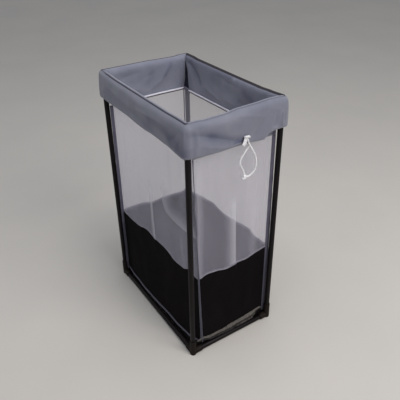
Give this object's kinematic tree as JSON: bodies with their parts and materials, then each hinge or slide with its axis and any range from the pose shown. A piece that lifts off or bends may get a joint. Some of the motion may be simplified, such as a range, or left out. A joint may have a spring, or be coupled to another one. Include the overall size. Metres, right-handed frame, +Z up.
{
  "type": "laundry hamper",
  "caption": "Tall rectangular laundry hamper: plug-together tube frame with a sheer net bag hung over the top rails, black cloth lower walls and a drawstring cuff.",
  "frame": {"origin": "centre of the foot rectangle, on the floor under the feet", "axes": "+Z up, +X to the front short side where the drawstring comes out, +Y to the right"},
  "size_m": [0.4273, 0.2722, 0.6418],
  "materials": {
    "tube_black": "satin",
    "corner_black": "matte",
    "net_white": "sheer net",
    "cloth_black": "matte",
    "cloth_grey": "woven",
    "binding_grey": "woven tape",
    "cord_white": "braided"
  },
  "bodies": {
    "base": {"base_corner_back_left": "corner_black", "base_corner_front_left": "corner_black", "base_corner_front_right": "corner_black", "base_corner_back_right": "corner_black", "bottom_rail_left": "tube_black", "bottom_rail_front": "tube_black", "bottom_rail_right": "tube_black", "bottom_rail_back": "tube_black"},
    "uprights": {"post_back_left": "tube_black", "post_front_left": "tube_black", "post_front_right": "tube_black", "post_back_right": "tube_black"},
    "top_ring": {"top_rail_left": "tube_black", "top_rail_front": "tube_black", "top_rail_right": "tube_black", "top_rail_back": "tube_black", "top_corner_back_left": "corner_black", "top_corner_front_left": "corner_black", "top_corner_front_right": "corner_black", "top_corner_back_right": "corner_black"},
    "bag": {"net_panel_left": "net_white", "net_panel_front": "net_white", "net_panel_right": "net_white", "net_panel_back": "net_white", "lower_panel_left": "cloth_black", "lower_panel_front": "cloth_black", "lower_panel_right": "cloth_black", "lower_panel_back": "cloth_black", "bag_floor": "cloth_black", "inner_band_left": "cloth_grey", "inner_band_front": "cloth_grey", "inner_band_right": "cloth_grey", "inner_band_back": "cloth_grey", "cuff_left": "cloth_grey", "cuff_front": "cloth_grey", "cuff_right": "cloth_grey", "cuff_back": "cloth_grey", "corner_binding_back_left": "binding_grey", "corner_binding_front_left": "binding_grey", "corner_binding_front_right": "binding_grey", "corner_binding_back_right": "binding_grey", "floor_binding_left": "binding_grey", "floor_binding_front": "binding_grey", "floor_binding_right": "binding_grey", "floor_binding_back": "binding_grey", "band_seam_tape_left": "binding_grey", "band_seam_tape_front": "binding_grey", "band_seam_tape_right": "binding_grey", "band_seam_tape_back": "binding_grey", "net_seam_tape_left": "net_white", "net_seam_tape_front": "net_white", "net_seam_tape_right": "net_white", "net_seam_tape_back": "net_white", "cord_in_hem": "cord_white", "cord_exit_knot": "cord_white", "cord_end_knot": "cord_white", "cord_strand_left": "cord_white", "cord_strand_right": "cord_white"}
  },
  "joints": [
    {"name": "uprights_lift", "type": "slide", "parent": "base", "child": "uprights", "axis": [0, 0, 1], "range_m": [0, 0.04]},
    {"name": "top_ring_lift", "type": "slide", "parent": "uprights", "child": "top_ring", "axis": [0, 0, 1], "range_m": [0, 0.04]},
    {"name": "bag_lift", "type": "slide", "parent": "top_ring", "child": "bag", "axis": [0, 0, 1], "range_m": [0, 0.64]}
  ]
}
